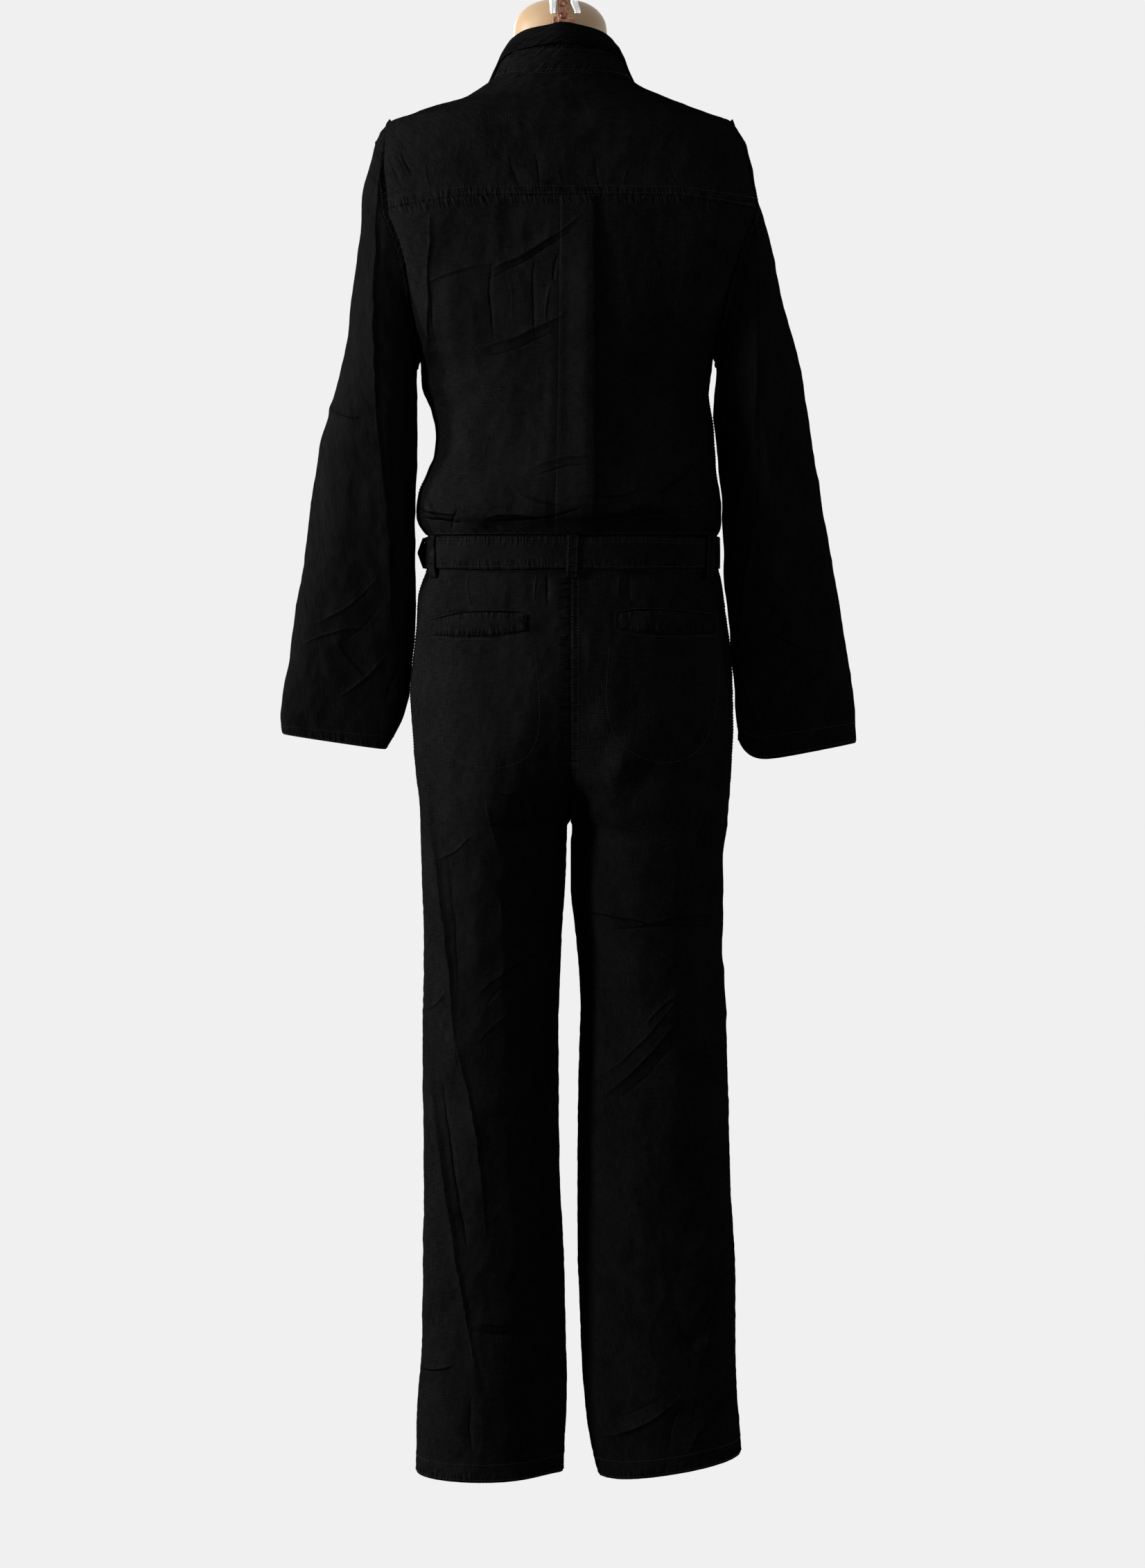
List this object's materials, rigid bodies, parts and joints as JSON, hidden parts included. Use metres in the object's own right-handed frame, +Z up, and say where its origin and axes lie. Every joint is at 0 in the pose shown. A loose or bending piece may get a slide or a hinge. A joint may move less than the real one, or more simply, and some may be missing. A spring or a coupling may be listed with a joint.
{
  "type": "jumpsuit on a hanging torso form",
  "caption": "Black cotton twill jumpsuit with long sleeves, a shirt collar, a back box pleat, belt and welt pockets, filled out by a smooth torso form that hangs by a bracket at its neck",
  "frame": {"origin": "the top of the eye that the torso form hangs by; the whole part is below it", "axes": "+Z is up, the garment's back faces +Y and the wearer's left side is +X"},
  "size_m": [0.5935, 0.2431, 1.5413],
  "materials": {
    "twill": "matt, near-black woven cotton twill",
    "button_horn": "satin black",
    "buckle_metal": "satin black lacquer",
    "form_skin": "smooth satin beige",
    "rail_steel": "bright rolled steel",
    "plate_bronze": "bronze-brown lacquer"
  },
  "bodies": {
    "root": {"yoke": "twill", "back_panel": "twill", "front_left": "twill", "front_right": "twill", "sleeve_left": "twill", "sleeve_right": "twill", "trouser_back_left": "twill", "trouser_back_right": "twill", "trouser_front_left": "twill", "trouser_front_right": "twill", "collar_stand": "twill", "collar_fall": "twill", "belt": "twill", "belt_loop_back": "twill", "belt_loop_left": "twill", "belt_loop_right": "twill", "belt_loop_front_left": "twill", "belt_loop_front_right": "twill", "back_welt_left": "twill", "back_welt_right": "twill", "front_placket": "twill", "fly_placket": "twill", "button198": "button_horn", "button258": "button_horn", "button318": "button_horn", "button378": "button_horn", "button438": "button_horn", "button498": "button_horn", "button650": "button_horn", "button705": "button_horn", "buckle_frame": "buckle_metal", "buckle_prong": "buckle_metal", "torso_form": "form_skin", "bracket_base": "plate_bronze", "bracket_plate": "plate_bronze", "bracket_screw_upper": "plate_bronze", "bracket_screw_lower": "plate_bronze", "bracket_rail_left": "rail_steel", "bracket_rail_right": "rail_steel", "bracket_arm": "rail_steel", "hanging_eye": "rail_steel"}
  },
  "joints": []
}
